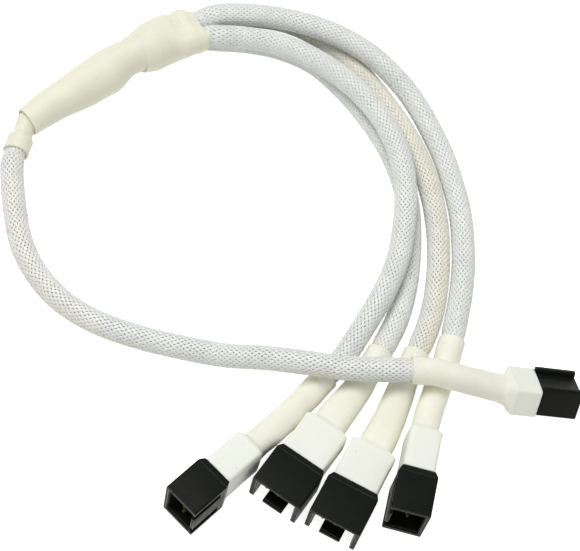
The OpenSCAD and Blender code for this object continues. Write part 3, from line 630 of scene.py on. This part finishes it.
def braid_tree():
    """Ribbons that wind both ways round a line and pass over one and under one."""
    tree = bpy.data.node_groups.new("braided sleeve", "GeometryNodeTree")
    face = tree.interface
    face.new_socket("Geometry", in_out="INPUT", socket_type="NodeSocketGeometry")
    for name, kind in (("Ribbon middle radius", "Float"), ("Ribbons each way", "Int"),
                       ("Turn length", "Float"), ("Weave depth", "Float"), ("Mean width", "Float"),
                       ("Width change", "Float"), ("Samples", "Int"), ("Wire turn length", "Float"),
                       ("Wire start angle", "Float"), ("Ribbon section", "Object"), ("Material", "Material")):
        face.new_socket(name, in_out="INPUT", socket_type="NodeSocket" + kind)
    face.new_socket("Geometry", in_out="OUTPUT", socket_type="NodeSocketGeometry")
    given = add(tree, "NodeGroupInput", {}).outputs

    # Two copies of the line for each pair of ribbons, one to wind each way
    upright = add(tree, "GeometryNodeSetCurveNormal", {"Curve": given["Geometry"]}, mode="Z_UP")
    even = add(tree, "GeometryNodeResampleCurve", {"Curve": upright, "Count": given["Samples"]})
    both = add(tree, "ShaderNodeMath", {0: given["Ribbons each way"], 1: 2}, operation="MULTIPLY")
    copies = add(tree, "GeometryNodeDuplicateElements", {"Geometry": even, "Amount": both}, domain="SPLINE")
    index = copies.outputs["Duplicate Index"]
    halved = add(tree, "ShaderNodeMath", {0: index, 1: 2}, operation="DIVIDE")
    place = add(tree, "ShaderNodeMath", {0: halved}, operation="FLOOR")
    odd = add(tree, "ShaderNodeMath", {0: index, 1: 2}, operation="MODULO")
    side = add(tree, "ShaderNodeMath", {0: odd, 1: -2, 2: 1}, operation="MULTIPLY_ADD")

    # How far each point has wound round
    gone = add(tree, "GeometryNodeSplineParameter", {}).outputs["Length"]
    turns = add(tree, "ShaderNodeMath", {0: gone, 1: given["Turn length"]}, operation="DIVIDE")
    start = add(tree, "ShaderNodeMath", {0: place, 1: given["Ribbons each way"]}, operation="DIVIDE")
    wound = add(tree, "ShaderNodeMath", {0: turns, 1: side, 2: start}, operation="MULTIPLY_ADD")
    angle = add(tree, "ShaderNodeMath", {0: wound, 1: 2 * math.pi}, operation="MULTIPLY")

    # Over one and under one: all of one way are up at a crossing, and down at the next
    passed = add(tree, "ShaderNodeMath", {0: turns, 1: given["Ribbons each way"]}, operation="MULTIPLY")
    phase = add(tree, "ShaderNodeMath", {0: passed, 1: 2 * math.pi}, operation="MULTIPLY")
    wave = add(tree, "ShaderNodeMath", {0: phase}, operation="COSINE")
    own = add(tree, "ShaderNodeMath", {0: wave, 1: side}, operation="MULTIPLY")
    lift = add(tree, "ShaderNodeMath", {0: own, 1: given["Weave depth"]}, operation="MULTIPLY")
    local = add(tree, "GeometryNodeInputRadius", {})
    radius = add(tree, "ShaderNodeMath", {0: given["Ribbon middle radius"], 1: local, 2: lift},
                 operation="MULTIPLY_ADD")

    # A ribbon spreads over each crossing and draws together between two, which leaves a hole at each corner
    twice = add(tree, "ShaderNodeMath", {0: phase, 1: 2}, operation="MULTIPLY")
    spread = add(tree, "ShaderNodeMath", {0: twice}, operation="COSINE")
    width = add(tree, "ShaderNodeMath", {0: spread, 1: given["Width change"], 2: given["Mean width"]},
                operation="MULTIPLY_ADD")

    tangent = add(tree, "GeometryNodeInputTangent", {})
    normal = add(tree, "GeometryNodeInputNormal", {}).outputs["Normal"]
    across = add(tree, "ShaderNodeVectorMath", {0: tangent, 1: normal}, operation="CROSS_PRODUCT")
    level = add(tree, "ShaderNodeMath", {0: angle}, operation="COSINE")
    beside = add(tree, "ShaderNodeMath", {0: angle}, operation="SINE")
    raised = add(tree, "ShaderNodeVectorMath", {0: normal, "Scale": level}, operation="SCALE")
    shifted = add(tree, "ShaderNodeVectorMath", {0: across, "Scale": beside}, operation="SCALE")
    outward = add(tree, "ShaderNodeVectorMath", {0: raised, 1: shifted}, operation="ADD")

    # How near the yellow wire lies under this place
    wire_turn = add(tree, "ShaderNodeMath", {0: gone, 1: given["Wire turn length"]}, operation="DIVIDE")
    wire_angle = add(tree, "ShaderNodeMath", {0: wire_turn, 1: 2 * math.pi, 2: given["Wire start angle"]},
                     operation="MULTIPLY_ADD")
    apart = add(tree, "ShaderNodeMath", {0: angle, 1: wire_angle}, operation="SUBTRACT")
    close = add(tree, "ShaderNodeMath", {0: apart}, operation="COSINE")
    above = add(tree, "ShaderNodeMath", {0: close, 1: 0}, operation="MAXIMUM")
    near = add(tree, "ShaderNodeMath", {0: above, 1: 1.6}, operation="POWER")

    # Kept as attributes, because the lengths change once the points have moved
    kept = copies
    for name, value, kind in (("wire_near", near, "FLOAT"), ("ribbon_width", width, "FLOAT"),
                              ("outward", outward, "FLOAT_VECTOR")):
        kept = add(tree, "GeometryNodeStoreNamedAttribute", {"Geometry": kept, "Name": name}, data_type=kind,
                   domain="POINT")
        fill(tree, kept, {"Value": value})
    away = add(tree, "ShaderNodeVectorMath", {0: outward, "Scale": radius}, operation="SCALE")
    moved = add(tree, "GeometryNodeSetPosition", {"Geometry": kept, "Offset": away})
    facing = add(tree, "GeometryNodeInputNamedAttribute", {"Name": "outward"}, data_type="FLOAT_VECTOR")
    turned = add(tree, "GeometryNodeSetCurveNormal", {"Curve": moved}, mode="FREE")
    fill(tree, turned, {"Normal": facing})
    plain = add(tree, "GeometryNodeSetCurveRadius", {"Curve": turned, "Radius": 1.0})
    shape = add(tree, "GeometryNodeObjectInfo", {"Object": given["Ribbon section"]})
    wide = add(tree, "GeometryNodeInputNamedAttribute", {"Name": "ribbon_width"}, data_type="FLOAT")
    ribbons = add(tree, "GeometryNodeCurveToMesh", {
        "Curve": plain, "Profile Curve": shape.outputs["Geometry"], "Scale": wide, "Fill Caps": True})
    smooth = add(tree, "GeometryNodeSetShadeSmooth", {"Geometry": ribbons})
    real = add(tree, "GeometryNodeRealizeInstances", {"Geometry": smooth})
    finished = add(tree, "GeometryNodeSetMaterial", {"Geometry": real, "Material": given["Material"]})
    add(tree, "NodeGroupOutput", {0: finished})
    return tree


def set_inputs(modifier, values):
    """Sets a modifier's inputs by their sockets' identifiers."""
    sockets = {s.name: s.identifier for s in modifier.node_group.interface.items_tree
               if s.item_type == "SOCKET" and s.in_out == "INPUT"}
    for name, value in values.items():
        modifier[sockets[name]] = value


def ribbon_section(width, thickness):
    """Section of one ribbon of the braid: three filaments side by side."""
    places = [(-0.3, -1), (0.8, -0.7), (0.4, -0.33), (1, 0), (0.4, 0.33), (0.8, 0.7), (-0.3, 1)]
    data = bpy.data.curves.new("ribbon section", "CURVE")
    spline = data.splines.new("POLY")
    spline.points.add(len(places) - 1)
    for point, (x, y) in zip(spline.points, places):
        point.co = (x * thickness / 2, y * width / 2, 0, 1)
    spline.use_cyclic_u = True
    return in_scene("ribbon section", data)


def line_object(name, line, share):
    """A line for Geometry Nodes to follow, with the sleeve's share of its full radius at each point."""
    data = bpy.data.curves.new(name, "CURVE")
    data.dimensions = "3D"
    spline = data.splines.new("POLY")
    spline.points.add(len(line) - 1)
    spline.points.foreach_set("co", np.c_[line * MM, np.ones(len(line))].ravel())
    spline.points.foreach_set("radius", share)
    return in_scene(name, data)


def braided(name, line, share, values, tree):
    """A lead's sleeve as a plain mesh."""
    source = line_object(name + "_line", line, share)
    modifier = source.modifiers.new("braid", "NODES")
    modifier.node_group = tree
    set_inputs(modifier, values)
    bpy.context.view_layer.update()
    held = bpy.context.evaluated_depsgraph_get()
    mesh = bpy.data.meshes.new_from_object(source.evaluated_get(held))
    mesh.name = name
    piece = in_scene(name, mesh)
    source.modifiers.clear()
    bpy.data.objects.remove(source)
    return piece


def wires_piece(name, line, colours, start_angle, turn_length, materials):
    """The insulated wires that lie twisted together in a sleeve."""
    # Radius of the ring on which three wires would touch, with a little room
    ring_r = WIRE_R / math.cos(math.radians(30)) + 0.08
    sides = 10
    thin, gone = rounded_line(line[::6], WIRE_STEP)
    points, faces, slots = [], [], []
    phi = np.linspace(0, 2 * math.pi, sides, endpoint=False)
    for k, colour in enumerate(colours):
        first = len(points)
        turn = start_angle + 2 * math.pi * k / 3
        for i, centre in enumerate(thin):
            across, up = axes_of(way_at(thin, i))
            # Turned as the braid's angle is: zero is to the right, and a quarter turn is downwards
            angle = turn + 2 * math.pi * gone[i] / turn_length
            middle = centre - ring_r * (across * math.cos(angle) + up * math.sin(angle))
            points += list(middle + WIRE_R * (np.outer(np.cos(phi), across) + np.outer(np.sin(phi), up)))
        tube = ring_faces(len(thin), sides, first)
        tube += [tuple(first + j for j in range(sides)),
                 tuple(first + (len(thin) - 1) * sides + j for j in reversed(range(sides)))]
        faces += tube
        slots += [colour] * len(tube)
    return hold(mesh_object(name, points, faces, materials, slots=slots), "wire")


# Mouldings

def softened(name, node, width, materials, slot):
    """A copy of a CAD node with its doubles merged and its edges rounded off."""
    mesh = frame["nodes"][node].data.copy()
    mesh.name = name
    mesh.materials.clear()
    for one in materials:
        mesh.materials.append(one)
    work = bmesh.new()
    work.from_mesh(mesh)
    bmesh.ops.remove_doubles(work, verts=work.verts, dist=SAME_POINT)
    bmesh.ops.dissolve_limit(work, angle_limit=math.radians(SAME_FACE), verts=work.verts, edges=work.edges)
    for face in work.faces:
        face.material_index = 0
    sharp = [e for e in work.edges
             if len(e.link_faces) == 2 and e.calc_face_angle(0) > math.radians(ROUNDED_EDGE)]
    # The rounded edges take the second material, lighter partly from wear and partly as a painted highlight
    bmesh.ops.bevel(work, geom=sharp, offset=width * MM, offset_type="OFFSET", segments=2, profile=0.6,
                    affect="EDGES", clamp_overlap=True, material=1)
    bmesh.ops.triangulate(work, faces=[f for f in work.faces if len(f.verts) > 4])
    work.to_mesh(mesh)
    work.free()
    mesh.polygons.foreach_set("use_smooth", [True] * len(mesh.polygons))
    mesh.set_sharp_from_angle(angle=math.radians(SHARP_EDGE))
    return hold(in_scene(name, mesh), slot, node)


def give(node, material):
    """A carried-over CAD node's own material."""
    data = frame["nodes"][node].data
    data.materials.clear()
    data.materials.append(material)


# Settings

def length(name, description, millimetres, low, high):
    return FloatProperty(name=name, description=description, default=millimetres * MM, min=low * MM,
                         max=high * MM, unit="LENGTH", precision=5)


def colour(name, description, hexed):
    return FloatVectorProperty(name=name, description=description, subtype="COLOR", size=4, min=0, max=1,
                               default=srgb(hexed))


class SplitterSettings(bpy.types.PropertyGroup):
    """Sizes and colours of the fan splitter's surface"""
    sleeve_colour: colour("Sleeve colour", "Colour of the braided monofilament", "#F6F8F5")
    ribbons: IntProperty(name="Ribbons each way", description="Ribbons of the braid that wind each way round",
                         default=16, min=8, max=24)
    turn_length: length("Turn length", "Length of lead in which a ribbon goes once round", 20.5, 10, 60)
    ribbon_width: length("Ribbon width", "Width of three filaments side by side", 0.66, 0.3, 1)
    width_change: FloatProperty(name="Width change", default=0.16, min=0, max=0.3, subtype="FACTOR",
                                description="Share by which a ribbon spreads over a crossing")
    ribbon_thickness: length("Ribbon thickness", "Thickness of one filament", 0.2, 0.1, 0.3)
    weave_depth: length("Weave depth", "How far a ribbon rises and dips where it crosses others",
                        0.09, 0, 0.2)
    boot_colour: colour("Boot colour", "Colour of the boots' heat-shrink", "#FBFAE9")
    collar_colour: colour("Collar colour", "Colour where a boot is drawn over a moulding", "#F4F6E9")
    junction_colour: colour("Junction colour", "Colour of the junction's heat-shrink", "#F1F0DA")
    moulding_colour: colour("Moulding colour", "Colour of the plug and the sockets", "#10120E")
    edge_width: length("Edge rounding", "Width of the rounding along the mouldings' edges", 0.12, 0.05, 0.2)
    floor_colour: colour("Floor colour", "Colour of the plain floor", "#F4F4F2")


# Pieces

def settings_of(context):
    return context.scene.fan_splitter


LEAD_NAMES = ["input", "output_1", "output_2", "output_3", "output_4"]
# How far the yellow wire shows through each sleeve, the angle at which it starts, the length in which
# the wires turn once in the sleeve, and how wide the ribbons lie: less where the sleeve is stretched
LEAD_LOOKS = {
    "input": (0.3, -2.6, 110, 0.95),
    "output_1": (0.1, 2.4, 150, 0.96),
    "output_2": (0.1, 1.0, 150, 1),
    "output_3": (0.5, -0.4, -420, 0.97),
    "output_4": (0.1, 3.4, 150, 1),
}
# Wires in each sleeve: 0 yellow power, 1 black ground, 2 green speed signal
LEAD_WIRES = {"input": (0, 1, 2), "output_1": (0, 1, 2), "output_2": (0, 1), "output_3": (0, 1),
              "output_4": (0, 1)}


def matrix_of(right, up, back, place):
    """A camera's or a lamp's matrix, from its own axes and its place in metres."""
    return Matrix([[right[k], up[k], back[k], place[k]] for k in range(3)] + [[0, 0, 0, 1]])


class SPLITTER_OT_stage(bpy.types.Operator):
    """Makes the camera at the photograph's angle, the pale floor and the soft studio light"""
    bl_idname = "fan_splitter.stage"
    bl_label = "Stage"

    def execute(self, context):
        scene = context.scene
        elevation, roll = math.radians(ELEVATION), math.radians(CAMERA_ROLL)
        forward = np.array([0, math.cos(elevation), -math.sin(elevation)])
        right, up = np.array([1.0, 0, 0]), np.array([0, math.sin(elevation), math.cos(elevation)])
        level_right = math.cos(roll) * right + math.sin(roll) * up
        level_up = -math.sin(roll) * right + math.cos(roll) * up
        data = bpy.data.cameras.new("camera")
        data.sensor_fit = "HORIZONTAL"
        data.sensor_width = SENSOR_WIDTH
        data.lens = SENSOR_WIDTH * FOCAL_PIXELS / IMAGE_WIDTH
        data.clip_start, data.clip_end = 0.01, 10
        camera = in_scene("camera", data)
        camera.matrix_world = matrix_of(level_right, level_up, -forward, (AIM - forward * DISTANCE) * MM)
        scene.camera = camera
        scene.view_settings.view_transform = "Standard"
        self.floor(settings_of(context))
        self.lamps()
        self.surroundings(scene)
        return {"FINISHED"}

    def floor(self, settings):
        mesh = bpy.data.meshes.new("floor")
        mesh.from_pydata([(x * FLOOR_HALF, y * FLOOR_HALF, -FLOOR_DROP)
                          for x, y in ((-1, -1), (1, -1), (1, 1), (-1, 1))], [], [(0, 1, 2, 3)])
        piece = in_scene("floor", mesh)
        material = bpy.data.materials.new("pale card")
        material.use_nodes = True
        tree = material.node_tree
        shader = fill(tree, tree.nodes["Principled BSDF"], {
            "Base Color": settings.floor_colour, "Roughness": 0.9, "Specular IOR Level": 0.1})
        path = add(tree, "ShaderNodeLightPath", {}).outputs
        mirrored = add(tree, "ShaderNodeMath", {0: path["Is Glossy Ray"], 1: path["Is Transmission Ray"]},
                       operation="MAXIMUM")
        seen = add(tree, "ShaderNodeMath", {0: path["Is Camera Ray"], 1: mirrored}, operation="MAXIMUM")
        strength = add(tree, "ShaderNodeMath", {0: seen, 1: FLOOR_GLOW}, operation="MULTIPLY")
        glow = add(tree, "ShaderNodeEmission", {"Color": (1, 1, 1, 1), "Strength": strength})
        both = add(tree, "ShaderNodeAddShader", {0: shader, 1: glow})
        fill(tree, tree.nodes["Material Output"], {"Surface": both})
        mesh.materials.append(material)

    def lamps(self):
        for name, place, size, power in LAMPS:
            data = bpy.data.lights.new(name, "AREA")
            data.shape = "SQUARE"
            data.size = size
            data.energy = power
            back = unit(np.array(place))
            side = unit(np.cross(UP, back))
            in_scene(name, data).matrix_world = matrix_of(side, np.cross(back, side), back, place)

    def surroundings(self, scene):
        world = bpy.data.worlds.new("studio")
        world.use_nodes = True
        tree = world.node_tree
        path = add(tree, "ShaderNodeLightPath", {}).outputs
        seen = add(tree, "ShaderNodeMath", {0: path["Is Camera Ray"], 1: path["Is Transmission Ray"]},
                   operation="MAXIMUM")
        strength = add(tree, "ShaderNodeMapRange", {"Value": seen, "To Min": SKY_LIGHT, "To Max": 1})
        fill(tree, tree.nodes["Background"], {"Color": (1, 1, 1, 1), "Strength": strength})
        scene.world = world


class SPLITTER_OT_leads(bpy.types.Operator):
    """Weaves the braided sleeve of each lead over its wires"""
    bl_idname = "fan_splitter.leads"
    bl_label = "Braided leads"
    # For each lead: sleeve, exit point, length, line, and the names of the pieces at its far end
    cords = []

    def execute(self, context):
        settings = settings_of(context)
        tree = braid_tree()
        shape = ribbon_section(settings.ribbon_width, settings.ribbon_thickness)
        wires = [insulation_material(colour_name + " insulation", hexed) for colour_name, hexed in (
            ("yellow", "#E3B92B"), ("black", "#171717"), ("green", "#2F8F4E"))]
        middle = SLEEVE_R * MM - settings.ribbon_thickness / 2 - settings.weave_depth
        # Number 0 is the input, and 1 to 4 are the outputs
        for number, name in enumerate(LEAD_NAMES):
            if number:
                points, into, exit_point = output_points(number - 1), JUNCTION_IN, bundle_point(number - 1, 0)
                node = f"output_lead_{number}"
                ends = [f"output_boot_{number}_skin", f"output_moulding_{number}", f"output_pins_{number}",
                        f"output_pin_wires_{number}"]
            else:
                points, into, exit_point = input_points(), (CUFF_PATH[4] - CUFF_PATH[5])[1], CUFF_PATH[5]
                node = "input_lead"
                ends = ["input_boot_skin", "input_moulding", "input_contacts", "input_plug_wires"]
            line, gone = rounded_line(points, LINE_STEP)
            total = gone[-1]
            free = smooth_step(gone, into, into + OPENING) * (
                1 - smooth_step(gone, total - SLEEVE_IN - OPENING, total - SLEEVE_IN))
            share = (GRIP_R + (SLEEVE_R - GRIP_R) * free) / SLEEVE_R
            tint, start, turn_length, mean_width = LEAD_LOOKS[name]
            # Whole crossings in the lead's length, each with a sample on it and one between
            crossings = round(total * MM / settings.turn_length * 2 * settings.ribbons)
            sleeve = braided("braid_" + name, line, share, {
                "Ribbon middle radius": middle, "Ribbons each way": settings.ribbons,
                "Turn length": 2 * settings.ribbons * total * MM / crossings,
                "Weave depth": settings.weave_depth, "Mean width": mean_width,
                "Width change": settings.width_change, "Samples": 2 * crossings + 1,
                "Wire turn length": turn_length * MM, "Wire start angle": start, "Ribbon section": shape,
                "Material": braid_material(settings, "braided polyester, " + name.replace("_", " "), tint),
            }, tree)
            hold(sleeve, "sleeve", node)
            wires_piece("wires_" + name, line, LEAD_WIRES[name], start, turn_length, wires)
            self.cords.append((sleeve, exit_point, total, line, ends))
        bpy.data.objects.remove(shape)
        return {"FINISHED"}


class SPLITTER_OT_junction(bpy.types.Operator):
    """Shrinks the wide tube, the tapered tube and the cuff over the splices"""
    bl_idname = "fan_splitter.junction"
    bl_label = "Junction"

    def execute(self, context):
        settings = settings_of(context)
        material = shrink_material(settings, "shrunk polyolefin of the junction", settings.junction_colour)
        packed = [BUNDLE_PITCH / 2 + BOOT_R, BUNDLE_RISE / 2 + BOOT_R, BOOT_R,
                  -BUNDLE_PITCH / 2 / BUNDLE_RISE]
        front = [WIDE_FRONT_R, WIDE_FRONT_R, WIDE_FRONT_R, 0]
        sizes = [[p + (f - p) * t for p, f in zip(packed, front)] for t in WIDE_SHARE]
        path = [np.array([x, y, size[1]]) for (x, y), size in zip(WIDE_XY, sizes)]
        stations = [[path[i], *axes_of(way_at(path, i)), *sizes[i]] for i in range(len(path))]

        def wide_relief(s, phi, left):
            # The flattened tube stands up in a fold on its far side, with an ear near the mouth
            far = 0.5 - 0.5 * np.cos(phi + SIDE_TURN)
            fold = 1.1 * float(smooth_step(s, 0, 2.5) * (1 - smooth_step(s, 3, 12.5)))
            ear = 0.25 * bell(s, 2.6, 0.9) - 0.05 * bell(s, 4.4, 0.8)
            crease = -0.05 * bell(s, 3.9, 0.35)
            front = -(0.55 + 0.35 * far) * bell(left, 0, 1.9) + 0.05 * bell(left, 3, 0.9)
            near = -(0.2 * bell(s, 2, 2) + 0.45 * bell(s, 7.5, 2.5)) * (1 - far) ** 2
            return soft_waves(3, s, phi, 0.03) + (fold + ear) * far ** 3 + crease + front + near - 0.03

        shrink_piece("wide_tube_skin", "wide_tube", stations, wide_relief, material,
                     lambda s: (np.zeros_like(s), 0.4 * (1 - smooth_step(s, 2, 4))))
        tapered = [np.array([x, y, r + lift]) for (x, y), r, lift in zip(TAPERED_XY, TAPERED_R, TAPERED_LIFT)]

        def tapered_relief(s, phi, left):
            # A neck where it comes out of the wide tube, a belly over the splices and a flat towards the cuff
            near = 0.5 + 0.5 * np.cos(phi + SIDE_TURN)
            neck = -bell(s, 4.8, 2.6) * (0.7 - 0.3 * near) - bell(s, 7.6, 2.2) * (0.3 + 0.25 * near)
            neck = neck * (1 - 0.6 * np.maximum(0, np.sin(phi + SIDE_TURN)) ** 2)
            belly = 0.25 * bell(s, 12, 2.6) * near ** 2 - 0.1 * bell(s, 13, 4) * (1 - near)
            rear = -0.5 * bell(s, 24, 5) * near + 0.25 * bell(s, 27, 4) * (1 - near)
            ridged = float(smooth_step(s, 6, 10) * smooth_step(left, 1, 8))
            ridges = 0.07 * np.cos(3 * phi + 0.5 + s / 20) * ridged
            return soft_waves(8, s, phi, 0.06) + neck + belly + rear + ridges - 0.04

        shrink_piece("tapered_tube_skin", "tapered_tube", tube_stations(tapered, TAPERED_R), tapered_relief,
                     material, lambda s: (np.zeros_like(s), np.zeros_like(s)))

        def cuff_relief(s, phi, left):
            # It is crinkled in its bend, where it narrows
            crinkle = 0.025 * np.cos(2 * math.pi * s / 1.1 + 2 * np.cos(phi)) * bell(s, 4.4, 1.6)
            return soft_waves(11, s, phi, 0.05) + crinkle - 0.08 * bell(s, 5, 1.6) - 0.02

        shrink_piece("input_cuff_skin", "input_cuff", tube_stations(CUFF_PATH, CUFF_R), cuff_relief, material,
                     lambda s: (np.zeros_like(s), smooth_step(s, 7.5, 8.5)))
        return {"FINISHED"}


class SPLITTER_OT_boots(bpy.types.Operator):
    """Shrinks a boot over the rear of each connector"""
    bl_idname = "fan_splitter.boots"
    bl_label = "Boots"

    def execute(self, context):
        settings = settings_of(context)
        material = shrink_material(settings, "shrunk polyolefin of the boots", settings.boot_colour)
        half_w = HOUSING_W / 2 - RIM_DROP
        half_t = HOUSING_T / 2 - RIM_DROP
        for i, (_, _, heading, roll) in enumerate(OUTPUTS):
            # It widens more towards a socket that lies flat
            flare = 0.8 if roll == 0 else 0.4
            boot_piece(f"output_boot_{i + 1}_skin", f"output_boot_{i + 1}", output_curve(i), along(heading),
                       roll, half_w, half_t, flare, COLLAR_L - GRIP_GAP, 20 + i, material)
        boot_piece("input_boot_skin", "input_boot", INPUT_CURVE, PLUG_WAY, PLUG_ROLL, PLUG_W / 2 + SKIN,
                   PLUG_T / 2 + SKIN, 0.3, PLUG_COLLAR_L, 27, material)
        return {"FINISHED"}


class SPLITTER_OT_mouldings(bpy.types.Operator):
    """Rounds the edges of the plug and the four sockets and gives them their moulded finish"""
    bl_idname = "fan_splitter.mouldings"
    bl_label = "Plug and sockets"

    def execute(self, context):
        settings = settings_of(context)
        finish = [moulding_material(settings), worn_and_highlit_edge_material()]
        width = settings.edge_width / MM
        for i in range(1, 5):
            softened(f"output_moulding_{i}", f"output_housing_{i}", width, finish, "housing")
        softened("input_moulding", "input_plug", width, finish, "housing")
        return {"FINISHED"}


class SPLITTER_OT_contacts(bpy.types.Operator):
    """Gives the contacts, the splices and the wires' tails their own finishes"""
    bl_idname = "fan_splitter.contacts"
    bl_label = "Contacts and splices"

    def execute(self, context):
        tin = plated_material("bright tin plate", "#D8D6D0", "#A9A69C", 0.18, 0.34)
        # The pins' gold is far darker than a real gold flash: painted shade for the pins deep in the socket
        # mouths
        gold = plated_material("brass with a gold flash, darkened as painted shade", "#5E5031", "#3E3521", 0.42, 0.58)
        cap = cap_material()
        tails = insulation_material("dark insulation of the tails", "#1B1B1B")
        for node in frame["nodes"]:
            if node == "input_contacts":
                give(node, tin)
            elif node.startswith("output_pins"):
                give(node, gold)
            elif node.endswith("splice"):
                give(node, cap)
            elif "wires" in node:
                give(node, tails)
        return {"FINISHED"}


class SPLITTER_PT_panel(bpy.types.Panel):
    """Lists the fan splitter's pieces and its sizes and colours"""
    bl_label = "Fan splitter"
    bl_idname = "SPLITTER_PT_panel"
    bl_space_type = "VIEW_3D"
    bl_region_type = "UI"
    bl_category = "Fan splitter"

    def draw(self, context):
        for one in OPERATORS:
            self.layout.operator(one.bl_idname)
        for name in SplitterSettings.__annotations__:
            self.layout.prop(settings_of(context), name)


OPERATORS = [SPLITTER_OT_stage, SPLITTER_OT_leads, SPLITTER_OT_junction, SPLITTER_OT_boots,
             SPLITTER_OT_mouldings, SPLITTER_OT_contacts]
CLASSES = [SplitterSettings] + OPERATORS + [SPLITTER_PT_panel]


def register():
    for one in CLASSES:
        bpy.utils.register_class(one)
    bpy.types.Scene.fan_splitter = PointerProperty(type=SplitterSettings)


def unregister():
    del bpy.types.Scene.fan_splitter
    for one in reversed(CLASSES):
        bpy.utils.unregister_class(one)


def main():
    for old in [o for o in bpy.data.objects if o.name in ("Cube", "Light", "Camera")]:
        bpy.data.objects.remove(old)
    register()
    for one in OPERATORS:
        category, name = one.bl_idname.split(".")
        getattr(getattr(bpy.ops, category), name)()


if __name__ == "__main__":
    main()
